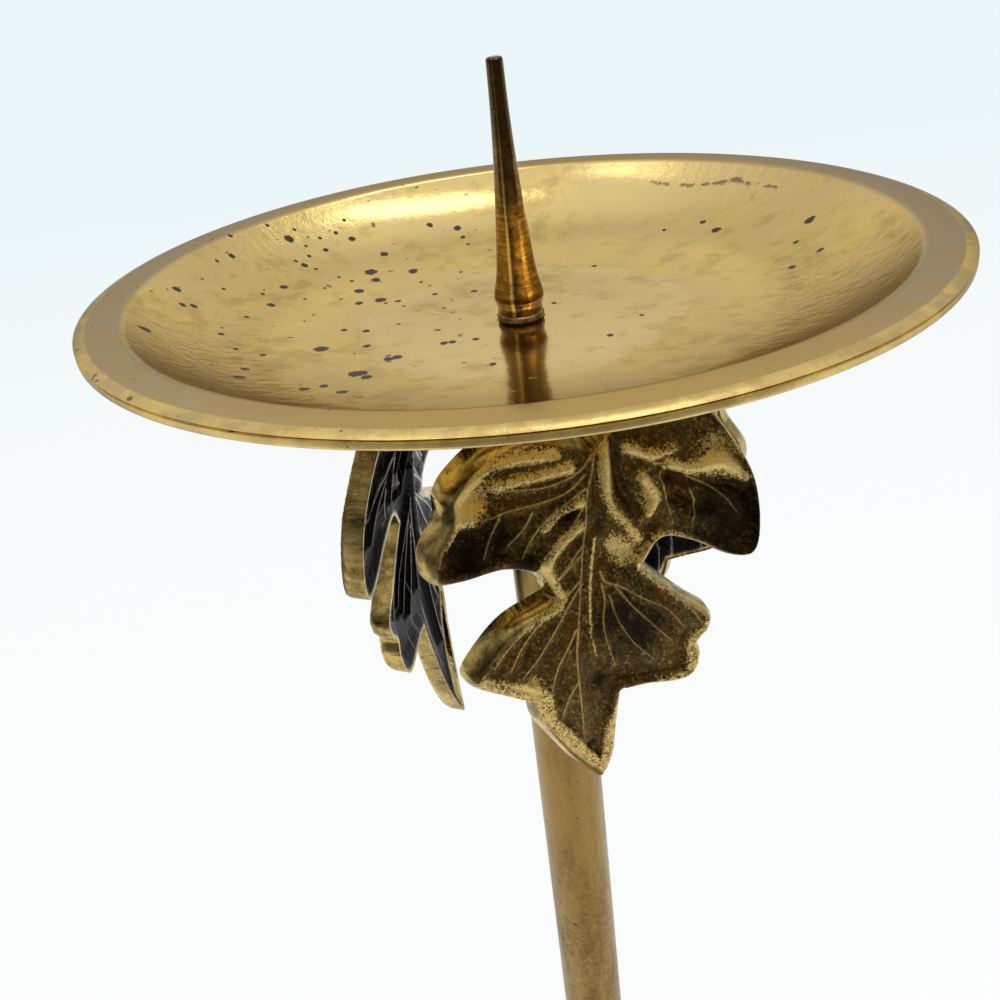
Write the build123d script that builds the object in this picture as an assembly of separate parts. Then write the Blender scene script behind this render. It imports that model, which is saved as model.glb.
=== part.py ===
from build123d import *
import os
from math import acos, atan2, cos, hypot, sin, sqrt

# Whole stand, in millimetres, with its origin in the middle of the circle that it stands on
rim_height = 384.3
cut_overrun = 1.0
running_clearance = 0.05
passing_clearance = 0.3

# Drip dish: a shallow bowl with a flat rim, rounded at its upper edge and grooved below the rounding
dish_diameter = 169.4
dish_rim_width = 8.7
dish_depth = 14.3
dish_floor_diameter = 50.0
dish_ease_out_share = 0.535
dish_ease_up_share = 0.175
dish_wall = 2.4
dish_shoulder = 2.4
dish_shoulder_drop = 0.65
dish_shoulder_bulge = 0.13
dish_groove = 0.5

# Spike: a taper with a flared base, and a threaded stud under it
spike_height = 48.3
spike_flare_diameter = 9.9
spike_tip_diameter = 3.2
spike_side_shares = (
    (0.0, 0.87), (0.025, 0.87), (0.045, 0.95), (0.075, 1.0), (0.18, 0.706),
    (0.345, 0.478), (0.58, 0.22), (0.8, 0.06), (1.0, 0.0),
)
stud_diameter = 6.0
stud_grip = 8.0
stud_chamfer = 0.6
washer_diameter = 9.6
washer_height = 2.0
washer_seat_diameter = 10.6
washer_seat_depth = 0.3

# Stem: a round tube with a tapped plug in each end
stem_diameter = 16.0
stem_wall = 2.0
head_plug_length = 22.0
foot_plug_length = 30.0

# Seat under the dish: a flange with a socket for the tube
seat_diameter = 44.0
seat_flange_height = 3.0
seat_hub_diameter = 26.0
seat_height = 9.0
seat_socket_depth = 5.0

# Collar that carries the leaves: a ring with a flat for each stalk
collar_diameter = 28.0
collar_height = 20.0
collar_flat_depth = 1.6
collar_chamfer = 0.8
set_screw_diameter = 4.0
set_screw_proud = 0.4
set_screw_socket_across = 2.0
set_screw_socket_depth = 2.0

# Leaves: three castings, each with five lobes round a curved back
leaf_sides = ("front", "left", "rear")
front_leaf_angle = 17.0
leaf_leans = {"front": 2.0, "left": 6.2, "rear": 9.0}
leaf_width = 72.4
leaf_height = 89.6
leaf_drop = 25.4
leaf_thickness = 5.0
leaf_reach = 35.7
leaf_arch_radius = 140.0
leaf_arch_share = 0.51
leaf_edge_slope_share = 0.2
leaf_blank_share = 1.5
leaf_boss_diameter = 10.0
leaf_boss_length = 4.0
leaf_valley_radius = 3.0
leaf_valley_lift = 1.9
stalk_diameter = 5.0
stalk_setback = 0.4
lock_nut_across = 8.0
lock_nut_height = 3.0

# Leaf outline seen from outside, lobe by lobe and clockwise from the notch at the stalk:
# shares of the half width to the right, and of the height down from the top
leaf_lobe_shares = (
    (
        (0.03, 0.07), (0.24, 0.012), (0.5, 0.003), (0.71, 0.047), (0.82, 0.113), (0.93, 0.215),
        (0.956, 0.302), (0.93, 0.395), (0.853, 0.43), (0.706, 0.41), (0.515, 0.351), (0.33, 0.317),
    ),
    (
        (0.206, 0.36), (0.438, 0.475), (0.597, 0.545), (0.575, 0.595), (0.51, 0.618),
        (0.527, 0.655), (0.49, 0.708), (0.376, 0.726), (0.147, 0.7),
    ),
    (
        (0.006, 0.69), (-0.025, 0.79), (-0.045, 0.895), (-0.1, 0.968), (-0.16, 0.985),
        (-0.225, 0.946), (-0.345, 0.87), (-0.45, 0.782), (-0.54, 0.7),
    ),
    (
        (-0.56, 0.635), (-0.68, 0.597), (-0.86, 0.54), (-0.9, 0.5), (-0.794, 0.447),
        (-0.618, 0.395),
    ),
    (
        (-0.368, 0.368), (-0.412, 0.315), (-0.574, 0.282), (-0.794, 0.279), (-0.95, 0.268),
        (-1.0, 0.236), (-0.976, 0.185), (-0.859, 0.13), (-0.832, 0.085), (-0.735, 0.047),
        (-0.544, 0.012), (-0.265, 0.012),
    ),
)

# Valleys between the leaf's veins, each from one end to the other in the same shares
leaf_valley_shares = (
    ((-0.12, 0.1), (-0.74, 0.13)), ((-0.15, 0.15), (-0.82, 0.26)), ((-0.18, 0.24), (-0.46, 0.31)),
    ((0.18, 0.07), (0.76, 0.15)), ((0.18, 0.12), (0.84, 0.27)), ((0.12, 0.17), (0.66, 0.35)),
    ((0.0, 0.21), (0.26, 0.3)), ((-0.26, 0.42), (-0.72, 0.52)), ((-0.27, 0.49), (-0.54, 0.62)),
    ((0.0, 0.4), (0.45, 0.54)), ((-0.09, 0.49), (0.38, 0.67)), ((-0.31, 0.7), (-0.27, 0.91)),
    ((-0.15, 0.7), (-0.12, 0.91)),
)

# Foot: a hollow bell with a stepped rim, closed from below and weighted with cast iron
foot_diameter = 172.0
foot_rim_width = 9.0
foot_rim_height = 6.0
foot_rim_round = 1.5
foot_step = 2.0
foot_height = 40.0
foot_top_diameter = 38.0
foot_top_wall = 5.0
foot_wall = 2.6
foot_side_shares = ((0.0, 0.0), (0.12, 0.26), (0.36, 0.5), (0.66, 0.7), (0.88, 0.86), (1.0, 1.0))
foot_collar_diameter = 34.0
foot_collar_height = 14.0
foot_collar_neck_diameter = 22.0
base_plate_thickness = 1.5
base_plate_recess = 1.5
base_plate_ledge = 2.5
base_screw_diameter = 4.0
base_screw_length = 7.0
base_screw_head_diameter = 8.0
base_screw_head_height = 1.0
base_screw_circle_diameter = 76.0
base_screw_count = 3
ballast_diameter = 100.0
ballast_height = 12.0
ballast_hub_diameter = 28.0
ballast_recess_diameter = 24.0
ballast_recess_depth = 9.0
foot_bolt_diameter = 8.0
foot_bolt_grip = 20.0
foot_bolt_head_across = 13.0
foot_bolt_head_height = 5.3
foot_washer_diameter = 20.0
foot_washer_thickness = 1.6

# Heights, radii and angles that several pieces share
floor_height = rim_height - dish_depth
washer_bottom = floor_height - washer_seat_depth
washer_top = washer_bottom + washer_height
seat_top = floor_height - dish_wall
seat_bottom = seat_top - seat_height
stem_top = seat_bottom + seat_socket_depth
stem_radius = stem_diameter / 2
stem_bore_radius = stem_radius - stem_wall
stud_radius = stud_diameter / 2
stud_pass_radius = stud_radius + passing_clearance
stalk_radius = stalk_diameter / 2
stalk_height = seat_bottom - collar_height / 2
collar_flat_radius = collar_diameter / 2 - collar_flat_depth
foot_bolt_radius = foot_bolt_diameter / 2
foot_bolt_pass_radius = foot_bolt_radius + passing_clearance
plate_top = base_plate_recess + base_plate_thickness
foot_step_radius = foot_diameter / 2 - foot_rim_width
plate_recess_radius = foot_step_radius - foot_wall + base_plate_ledge
foot_ceiling = foot_height - foot_top_wall
full_turn = 360
leaf_pitch = full_turn / len(leaf_sides)
leaf_angles = {side: front_leaf_angle - leaf_pitch * place for place, side in enumerate(leaf_sides)}
set_screw_angle = front_leaf_angle + leaf_pitch / 2


# A point of a turned profile
def at(radius, height):
    return (radius, 0, height)


# A solid turned from lines that close a profile
def turned(*lines):
    edges = [edge for line in lines for edge in line.edges()]
    return revolve(make_face(edges), Axis.Z)


# A solid turned from the corners of a straight-sided profile
def turned_corners(*corners):
    return turned(Polyline(*[at(radius, height) for radius, height in corners], close=True))


# An upright round bar
def bar(radius, bottom, top):
    return Pos(0, 0, bottom) * Cylinder(radius, top - bottom, align=(Align.CENTER, Align.CENTER, Align.MIN))


# A plane square to a radius on the leaves' side of the stem, its Z pointing outwards
def radial_plane(radius, height):
    return Plane(origin=(0, -radius, height), x_dir=(1, 0, 0), z_dir=(0, -1, 0))


# A round bar along that radius
def radial_bar(radius, start, end, height):
    along = Cylinder(radius, end - start, align=(Align.CENTER, Align.CENTER, Align.MIN))
    return radial_plane(start, height) * along


# A six-sided bar that stands on the XY plane
def hexagon_bar(across, length):
    return extrude(RegularPolygon(across / 2, 6, major_radius=False), length)


# The dish: its bowl leaves the floor in a wide arc, turns up in a tighter one and meets the rim in a crease, and
# the floor has a shallow turned seat for the washer
def drip_dish():
    edge = dish_diameter / 2
    crease = edge - dish_rim_width
    flat = dish_floor_diameter / 2
    seat = washer_seat_diameter / 2
    ease_out = dish_ease_out_share * (crease - flat)
    ease_up = dish_ease_up_share * dish_depth
    ease = (ease_out ** 2 + ease_up ** 2) / (2 * ease_up)
    ease_turn = 2 * atan2(ease_up, ease_out)
    out = crease - flat - ease_out
    up = dish_depth - ease_up
    bowl = (out ** 2 + up ** 2) / (2 * (up * cos(ease_turn) - out * sin(ease_turn)))
    bowl_middle = flat + ease_out - bowl * sin(ease_turn)
    bowl_top = floor_height + ease_up + bowl * cos(ease_turn)
    crease_turn = atan2(crease - bowl_middle, bowl_top - rim_height)
    lip_top = rim_height - dish_shoulder_drop
    under_rim = rim_height - dish_wall
    under_turn = acos((bowl_top - under_rim) / (bowl + dish_wall))

    def ease_point(turn, wall):
        return at(flat + (ease + wall) * sin(turn), floor_height + ease - (ease + wall) * cos(turn))

    def bowl_point(turn, wall):
        return at(bowl_middle + (bowl + wall) * sin(turn), bowl_top - (bowl + wall) * cos(turn))

    shoulder_middle = at(edge - dish_shoulder / 2, (rim_height + lip_top) / 2 + dish_shoulder_bulge)
    floor_line = Line(at(seat, floor_height), at(flat, floor_height))
    ease_arc = ThreePointArc(floor_line @ 1, ease_point(ease_turn / 2, 0), ease_point(ease_turn, 0))
    bowl_arc = ThreePointArc(
        ease_arc @ 1, bowl_point((ease_turn + crease_turn) / 2, 0), at(crease, rim_height)
    )
    rim_line = Line(bowl_arc @ 1, at(edge - dish_shoulder, rim_height))
    shoulder = ThreePointArc(rim_line @ 1, shoulder_middle, at(edge, lip_top))
    lip = Polyline(
        shoulder @ 1,
        at(edge - dish_groove, lip_top - dish_groove / 2),
        at(edge, lip_top - dish_groove),
        at(edge, under_rim),
        bowl_point(under_turn, dish_wall),
    )
    under_bowl = ThreePointArc(
        lip @ 1, bowl_point((ease_turn + under_turn) / 2, dish_wall), ease_point(ease_turn, dish_wall)
    )
    under_ease = ThreePointArc(under_bowl @ 1, ease_point(ease_turn / 2, dish_wall), at(flat, seat_top))
    bottom = Polyline(
        under_ease @ 1,
        at(stud_pass_radius, seat_top),
        at(stud_pass_radius, washer_bottom),
        at(seat, washer_bottom),
        floor_line @ 0,
    )
    return turned(floor_line, ease_arc, bowl_arc, rim_line, shoulder, lip, under_bowl, under_ease, bottom)


# The spike and its stud in one piece, standing on the washer
def pricket_spike():
    base = washer_top
    tip = spike_tip_diameter / 2
    swell = spike_flare_diameter / 2 - tip
    side = Spline(*[at(tip + swell * width, base + spike_height * up) for up, width in spike_side_shares])
    end = stem_top - stud_grip
    lower = Polyline(
        at(0, end),
        at(stud_radius - stud_chamfer, end),
        at(stud_radius, end + stud_chamfer),
        at(stud_radius, base),
        side @ 0,
    )
    upper = Polyline(side @ 1, at(0, base + spike_height), lower @ 0)
    return turned(lower, side, upper)


# The ring between spike and dish
def spike_washer():
    ring = bar(washer_diameter / 2, washer_bottom, washer_top)
    bore = stud_radius + running_clearance
    return ring - bar(bore, washer_bottom - cut_overrun, washer_top + cut_overrun)


# The flange under the dish, tapering to a hub with a socket over the tube
def dish_seat():
    flange = seat_diameter / 2
    socket = stem_radius + running_clearance
    return turned_corners(
        (stud_pass_radius, seat_top),
        (flange, seat_top),
        (flange, seat_top - seat_flange_height),
        (seat_hub_diameter / 2, seat_bottom),
        (socket, seat_bottom),
        (socket, stem_top),
        (stud_pass_radius, stem_top),
    )


# The stem tube between the foot's top and the seat's socket
def stem_tube():
    tube = bar(stem_radius, foot_height, stem_top)
    return tube - bar(stem_bore_radius, foot_height - cut_overrun, stem_top + cut_overrun)


# A tapped plug that fills the tube's bore
def stem_plug(bottom, top, bore):
    plug = bar(stem_bore_radius - running_clearance, bottom, top)
    return plug - bar(bore, bottom - cut_overrun, top + cut_overrun)


# Turns a piece made at the front of the stem to another side of it
def turned_to(angle, piece):
    return Rot(0, 0, angle) * piece


# Turns a leaf a little round its stalk, its right side going up
def leaned(angle, piece):
    return Pos(0, 0, stalk_height) * Rot(0, -angle, 0) * Pos(0, 0, -stalk_height) * piece


# The collar, with a flat and a tapped hole for each stalk, and one for the set screw
def leaf_collar():
    bottom = seat_bottom - collar_height
    outside = collar_diameter / 2
    bore = stem_radius + running_clearance
    ring = turned_corners(
        (bore, bottom),
        (outside - collar_chamfer, bottom),
        (outside, bottom + collar_chamfer),
        (outside, seat_bottom - collar_chamfer),
        (outside - collar_chamfer, seat_bottom),
        (bore, seat_bottom),
    )
    cutter_height = collar_height + cut_overrun
    cutter_align = (Align.CENTER, Align.CENTER, Align.MIN)
    cutter = Box(collar_diameter, cutter_height, collar_diameter, align=cutter_align)
    flat_cut = radial_plane(collar_flat_radius, stalk_height) * cutter
    hole = radial_bar(stalk_radius + running_clearance, 0, collar_diameter, stalk_height)
    screw_hole = radial_bar(set_screw_diameter / 2 + running_clearance, 0, collar_diameter, stalk_height)
    for angle in leaf_angles.values():
        ring -= turned_to(angle, flat_cut + hole)
    return ring - turned_to(set_screw_angle, screw_hole)


# The grub screw, with a six-sided socket in its outer end
def collar_set_screw():
    outer = collar_diameter / 2 + set_screw_proud
    screw = radial_bar(set_screw_diameter / 2, stem_radius, outer, stalk_height)
    start = radial_plane(outer - set_screw_socket_depth, stalk_height)
    socket = start * hexagon_bar(set_screw_socket_across, set_screw_socket_depth + cut_overrun)
    return turned_to(set_screw_angle, screw - socket)


# Distance of the leaf's front face from the stem's axis at a height
def leaf_front_radius(height):
    arch = rim_height - leaf_drop - leaf_height * leaf_arch_share
    return leaf_reach - leaf_arch_radius + sqrt(leaf_arch_radius ** 2 - (height - arch) ** 2)


# A point given in shares of the leaf's half width and height
def leaf_point(shares):
    across, down = shares
    return (leaf_width / 2 * across, rim_height - leaf_drop - leaf_height * down)


# The leaf's outline drawn in by a distance, as a face square to the radius
def leaf_section(inset, radius):
    lobes = [[leaf_point(shares) for shares in lobe] for lobe in leaf_lobe_shares]
    loop = [point for lobe in lobes for point in lobe]
    drawn = []
    for index, (across, height) in enumerate(loop):
        before = loop[index - 1]
        after = loop[(index + 1) % len(loop)]
        run = after[0] - before[0]
        rise = after[1] - before[1]
        length = hypot(run, rise)
        drawn.append((across + inset * rise / length, -radius, height - inset * run / length))
    edges = []
    start = 0
    for lobe in lobes:
        ring = drawn + drawn[:1]
        edges.append(Spline(*ring[start:start + len(lobe) + 1]))
        start += len(lobe)
    return make_face(edges)


# The space between the leaf's curved front and back
def leaf_slab():
    top = rim_height - leaf_drop + cut_overrun
    bottom = top - leaf_height - 2 * cut_overrun
    arch = rim_height - leaf_drop - leaf_height * leaf_arch_share

    def face_point(height, depth):
        return (0, depth - leaf_front_radius(height), height)

    front = ThreePointArc(face_point(top, 0), face_point(arch, 0), face_point(bottom, 0))
    depth = leaf_thickness
    back = ThreePointArc(face_point(bottom, depth), face_point(arch, depth), face_point(top, depth))
    lower_end = Line(front @ 1, back @ 0)
    upper_end = Line(back @ 1, front @ 0)
    edges = [line.edge() for line in (front, lower_end, back, upper_end)]
    return extrude(make_face(edges), leaf_width, both=True)


# A pointed spindle that cuts one valley between two veins
def leaf_valley(first, last):
    ends = []
    for across, height in (leaf_point(first), leaf_point(last)):
        ends.append(Vector(across, -leaf_front_radius(height) - leaf_valley_lift, height))
    length = (ends[1] - ends[0]).length
    side = ThreePointArc(at(0, 0), at(leaf_valley_radius, length / 2), at(0, length))
    spindle = turned(side, Line(side @ 1, side @ 0))
    return Plane(origin=ends[0], z_dir=ends[1] - ends[0]) * spindle


# One leaf at the front of the stem, with its valleys and the boss for its stalk
def leaf():
    middle = leaf_reach - leaf_thickness
    inner = middle - leaf_blank_share * leaf_thickness
    outer = middle + leaf_blank_share * leaf_thickness
    blank = loft(
        [
            leaf_section((inner - middle) * leaf_edge_slope_share, inner),
            leaf_section((outer - middle) * leaf_edge_slope_share, outer),
        ],
        ruled=True,
    )
    blank = blank & leaf_slab()
    for first, last in leaf_valley_shares:
        blank -= leaf_valley(first, last)
    back = leaf_front_radius(stalk_height) - leaf_thickness
    boss_face = back - leaf_boss_length
    boss = radial_bar(leaf_boss_diameter / 2, boss_face, back + leaf_thickness / 2, stalk_height)
    socket = radial_bar(stalk_radius + running_clearance, boss_face - cut_overrun, back, stalk_height)
    return blank + boss - socket


# A stalk from the collar's bore to the bottom of the leaf's socket
def leaf_stalk():
    start = stem_radius + stalk_setback
    end = leaf_front_radius(stalk_height) - leaf_thickness
    return radial_bar(stalk_radius, start, end, stalk_height)


# The nut that locks a stalk against the collar's flat
def lock_nut():
    nut = radial_plane(collar_flat_radius, stalk_height) * hexagon_bar(lock_nut_across, lock_nut_height)
    return nut - radial_bar(stalk_radius + running_clearance, 0, collar_diameter, stalk_height)


# The foot's bell, its rim on the ground and a ledge inside for the base plate
def foot_shell():
    edge = foot_diameter / 2
    step_top = foot_rim_height + foot_step
    top = foot_top_diameter / 2
    ledge = plate_recess_radius - base_plate_ledge
    round_middle = foot_rim_round / sqrt(2)

    def side(bottom_radius, bottom_height, top_radius, top_height):
        points = []
        for inward, up in foot_side_shares:
            radius = bottom_radius + (top_radius - bottom_radius) * inward
            points.append(at(radius, bottom_height + (top_height - bottom_height) * up))
        return Spline(*points)

    rim = Polyline(at(plate_recess_radius, 0), at(edge, 0), at(edge, foot_rim_height - foot_rim_round))
    rounding = ThreePointArc(
        rim @ 1,
        at(edge - foot_rim_round + round_middle, foot_rim_height - foot_rim_round + round_middle),
        at(edge - foot_rim_round, foot_rim_height),
    )
    steps = Polyline(rounding @ 1, at(foot_step_radius, foot_rim_height), at(foot_step_radius, step_top))
    outside = side(foot_step_radius, step_top, top, foot_height)
    crown = Polyline(
        outside @ 1,
        at(foot_bolt_pass_radius, foot_height),
        at(foot_bolt_pass_radius, foot_ceiling),
        at(top - foot_wall, foot_ceiling),
    )
    inside = side(ledge, step_top - foot_wall, top - foot_wall, foot_ceiling)
    ledges = Polyline(inside @ 0, at(ledge, plate_top), at(plate_recess_radius, plate_top), rim @ 0)
    return turned(rim, rounding, steps, outside, crown, inside, ledges)


# The turned ring where the stem meets the foot
def foot_collar():
    bore = stem_radius + running_clearance
    wide = foot_collar_diameter / 2
    neck = foot_collar_neck_diameter / 2
    waist = foot_height + foot_collar_height / 2
    top = foot_height + foot_collar_height
    bulge = (wide + neck) / 2
    bead = ThreePointArc(at(wide, foot_height), at(wide, (foot_height + waist) / 2), at(bulge, waist))
    upper = ThreePointArc(at(bulge, waist), at(neck, (waist + top) / 2), at(neck, top))
    rest = Polyline(upper @ 1, at(bore, top), at(bore, foot_height), bead @ 0)
    return turned(bead, upper, rest)


# The places of the base plate's screws
def base_screw_places():
    return PolarLocations(base_screw_circle_diameter / 2, base_screw_count)


# The sheet that closes the foot, resting against its ledge
def base_plate():
    plate = bar(plate_recess_radius - passing_clearance, base_plate_recess, plate_top)
    hole = bar(base_screw_diameter / 2 + passing_clearance, 0, plate_top + cut_overrun)
    return plate - [place * hole for place in base_screw_places()]


# The screws of the base plate, as separate solids
def base_plate_screws():
    head_bottom = base_plate_recess - base_screw_head_height
    head = bar(base_screw_head_diameter / 2, head_bottom, base_plate_recess)
    screw = head + bar(base_screw_diameter / 2, base_plate_recess, base_plate_recess + base_screw_length)
    return Compound(children=[place * screw for place in base_screw_places()])


# The cast iron weight, with a hub up to the foot's ceiling and a recess for the bolt's head
def ballast_disc():
    recess = plate_top + ballast_recess_depth
    disc = bar(ballast_diameter / 2, plate_top, plate_top + ballast_height)
    hub = bar(ballast_hub_diameter / 2, plate_top, foot_ceiling)
    weight = disc + hub - bar(ballast_recess_diameter / 2, plate_top - cut_overrun, recess)
    weight -= bar(foot_bolt_pass_radius, plate_top, foot_height)
    tapped_top = base_plate_recess + base_screw_length + cut_overrun
    tapped = bar(base_screw_diameter / 2 + running_clearance, 0, tapped_top)
    return weight - [place * tapped for place in base_screw_places()]


# The washer under the ballast's recess
def foot_washer():
    top = plate_top + ballast_recess_depth
    ring = bar(foot_washer_diameter / 2, top - foot_washer_thickness, top)
    return ring - bar(foot_bolt_pass_radius, 0, top + cut_overrun)


# The bolt up through the ballast and foot into the stem's plug
def foot_bolt():
    seat = plate_top + ballast_recess_depth - foot_washer_thickness
    head = Pos(0, 0, seat - foot_bolt_head_height) * hexagon_bar(foot_bolt_head_across, foot_bolt_head_height)
    return head + bar(foot_bolt_radius, seat, foot_height + foot_bolt_grip)


# All the pieces by name
one_leaf = leaf()
head_plug_bore = stud_radius + running_clearance
foot_plug_bore = foot_bolt_radius + running_clearance
pieces = {
    "pricket_spike": pricket_spike(),
    "spike_washer": spike_washer(),
    "drip_dish": drip_dish(),
    "dish_seat": dish_seat(),
    "stem_head_plug": stem_plug(stem_top - head_plug_length, stem_top, head_plug_bore),
    "stem_tube": stem_tube(),
    "leaf_collar": leaf_collar(),
    "collar_set_screw": collar_set_screw(),
    "foot_collar": foot_collar(),
    "foot_shell": foot_shell(),
    "ballast_disc": ballast_disc(),
    "base_plate": base_plate(),
    "base_plate_screws": base_plate_screws(),
    "stem_foot_plug": stem_plug(foot_height, foot_height + foot_plug_length, foot_plug_bore),
    "foot_washer": foot_washer(),
    "foot_bolt": foot_bolt(),
}
for side_name, side_angle in leaf_angles.items():
    pieces[f"leaf_{side_name}"] = turned_to(side_angle, leaned(leaf_leans[side_name], one_leaf))
    pieces[f"leaf_stalk_{side_name}"] = turned_to(side_angle, leaf_stalk())
lock_nuts = [turned_to(side_angle, lock_nut()) for side_angle in leaf_angles.values()]
pieces["stalk_lock_nuts"] = Compound(children=lock_nuts)

os.makedirs("parts", exist_ok=True)
for piece_name, piece in pieces.items():
    export_step(piece, f"parts/{piece_name}.step")
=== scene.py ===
from math import acos, atan2, cos, degrees, hypot, pi, radians, sin, sqrt

import bmesh
import bpy
import numpy as np
from mathutils import Matrix, Vector, noise


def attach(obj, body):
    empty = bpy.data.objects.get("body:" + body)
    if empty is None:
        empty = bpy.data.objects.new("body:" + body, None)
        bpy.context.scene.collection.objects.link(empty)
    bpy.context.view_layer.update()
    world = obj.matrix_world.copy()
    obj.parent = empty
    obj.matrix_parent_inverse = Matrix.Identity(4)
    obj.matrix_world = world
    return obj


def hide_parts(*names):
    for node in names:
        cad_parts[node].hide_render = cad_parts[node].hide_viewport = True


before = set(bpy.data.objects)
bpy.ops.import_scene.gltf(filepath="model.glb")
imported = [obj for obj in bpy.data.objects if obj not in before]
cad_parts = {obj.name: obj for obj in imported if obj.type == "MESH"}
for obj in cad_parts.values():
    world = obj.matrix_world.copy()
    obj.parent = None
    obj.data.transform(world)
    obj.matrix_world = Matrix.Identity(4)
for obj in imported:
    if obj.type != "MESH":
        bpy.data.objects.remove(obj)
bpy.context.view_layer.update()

# Foot: a hollow bell of cast brass that the whole stand rests on. It is turned on a lathe outside, with a low
# step above its rim, and bolted to the stem from below.
foot_radius = 0.086
foot_step_radius = 0.077
foot_rim_height = 0.006
foot_rim_round = 0.0015
foot_edge = 0.0004
foot_step_edge = 0.0003
foot_step_top = 0.008
foot_top_radius = 0.019
foot_top = 0.040
foot_bolt_hole = 0.0043
foot_ceiling = 0.035
foot_wall = 0.0026
foot_ledge_radius = 0.0744
foot_ledge_height = 0.003
foot_recess_radius = 0.0769
foot_side_shares = ((0.0, 0.0), (0.12, 0.26), (0.36, 0.5), (0.66, 0.7), (0.88, 0.86), (1.0, 1.0))
foot_brass = (0.50, 0.36, 0.14, 1)
foot_brown = (0.25, 0.165, 0.06, 1)
foot_pale = (0.62, 0.49, 0.24, 1)


class Field:
    """A socket of a material's nodes. Sums on it add Math nodes."""

    def __init__(self, tree, socket=None):
        self.tree = tree
        self.socket = socket

    def node(self, kind, settings, sockets, out=0):
        made = self.tree.nodes.new(kind)
        for name, setting in settings.items():
            setattr(made, name, setting)
        for name, value in sockets.items():
            if isinstance(value, Field):
                self.tree.links.new(value.socket, made.inputs[name])
            else:
                made.inputs[name].default_value = value
        return Field(self.tree, made.outputs[out])

    def math(self, operation, first, second):
        return self.node("ShaderNodeMath", {"operation": operation}, {0: first, 1: second})

    def __add__(self, other):
        return self.math("ADD", self, other)

    def __radd__(self, other):
        return self.math("ADD", other, self)

    def __sub__(self, other):
        return self.math("SUBTRACT", self, other)

    def __rsub__(self, other):
        return self.math("SUBTRACT", other, self)

    def __mul__(self, other):
        return self.math("MULTIPLY", self, other)

    def __rmul__(self, other):
        return self.math("MULTIPLY", other, self)

    def __truediv__(self, other):
        return self.math("DIVIDE", self, other)

    def least(self, other):
        return self.math("MINIMUM", self, other)

    def most(self, other):
        return self.math("MAXIMUM", self, other)

    def size(self):
        return self.math("ABSOLUTE", self, 0.0)

    def rise(self, low, high):
        settings = {"interpolation_type": "SMOOTHSTEP"}
        return self.node("ShaderNodeMapRange", settings, {"Value": self, "From Min": low, "From Max": high})

    def tint(self, first, second):
        settings = {"data_type": "RGBA"}
        return self.node("ShaderNodeMix", settings, {0: self, 6: first, 7: second}, 2)

    def vector(self, operation, other, out="Vector"):
        return self.node("ShaderNodeVectorMath", {"operation": operation}, {0: self, 1: other}, out)

    def mottle(self, scale, detail=2.0, roughness=0.5):
        sockets = {"Vector": self, "Scale": scale, "Detail": detail, "Roughness": roughness}
        return self.node("ShaderNodeTexNoise", {}, sockets, "Fac")

    def parts(self):
        split = self.node("ShaderNodeSeparateXYZ", {}, {0: self})
        return [Field(self.tree, socket) for socket in split.socket.node.outputs]

    def into(self, shader, name):
        self.tree.links.new(self.socket, shader.inputs[name])


def new_finish(name):
    material = bpy.data.materials.new(name)
    material.use_nodes = True
    shader = material.node_tree.nodes["Principled BSDF"]
    place = Field(material.node_tree).node("ShaderNodeTexCoord", {}, {}, "Object")
    return material, shader, place


def roughen(shader, height, strength, distance):
    sockets = {"Strength": strength, "Distance": distance, "Height": height}
    height.node("ShaderNodeBump", {}, sockets).into(shader, "Normal")


def smooth_run(points, steps):
    knots = [Vector(point) for point in points]
    knots = [2 * knots[0] - knots[1]] + knots + [2 * knots[-1] - knots[-2]]
    run = []
    for before, start, end, after in zip(knots, knots[1:], knots[2:], knots[3:]):
        for step in range(steps):
            t = step / steps
            bend = (2 * before - 5 * start + 4 * end - after) + t * (3 * start - 3 * end + after - before)
            run.append(start + 0.5 * t * (end - before + t * bend))
    return [tuple(point) for point in run + [knots[-2]]]


def arc(centre, radius, start, end, steps):
    turns = [radians(start + (end - start) * step / steps) for step in range(steps + 1)]
    return [(centre[0] + radius * cos(turn), centre[1] + radius * sin(turn)) for turn in turns]


def show(name, form, material, body, node, edge_angle=35):
    mesh = bpy.data.meshes.new(name)
    form.to_mesh(mesh)
    form.free()
    for face in mesh.polygons:
        face.use_smooth = True
    mesh.set_sharp_from_angle(angle=radians(edge_angle))
    mesh.materials.append(material)
    piece = bpy.data.objects.new(name, mesh)
    bpy.context.scene.collection.objects.link(piece)
    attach(piece, body)
    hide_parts(node)
    return piece


def turned(profile, steps):
    form = bmesh.new()
    ring = [form.verts.new((radius, 0, height)) for radius, height in profile]
    edges = [form.edges.new(pair) for pair in zip(ring, ring[1:] + ring[:1])]
    spun = {"axis": (0, 0, 1), "cent": (0, 0, 0), "angle": 2 * pi, "steps": steps, "use_merge": True}
    bmesh.ops.spin(form, geom=ring + edges, **spun)
    bmesh.ops.remove_doubles(form, verts=form.verts, dist=1e-6)
    bmesh.ops.recalc_face_normals(form, faces=form.faces)
    return form


def bell_side(bottom, top, steps):
    points = []
    for inward, up in foot_side_shares:
        points.append((bottom[0] + (top[0] - bottom[0]) * inward, bottom[1] + (top[1] - bottom[1]) * up))
    return smooth_run(points, steps)


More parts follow.
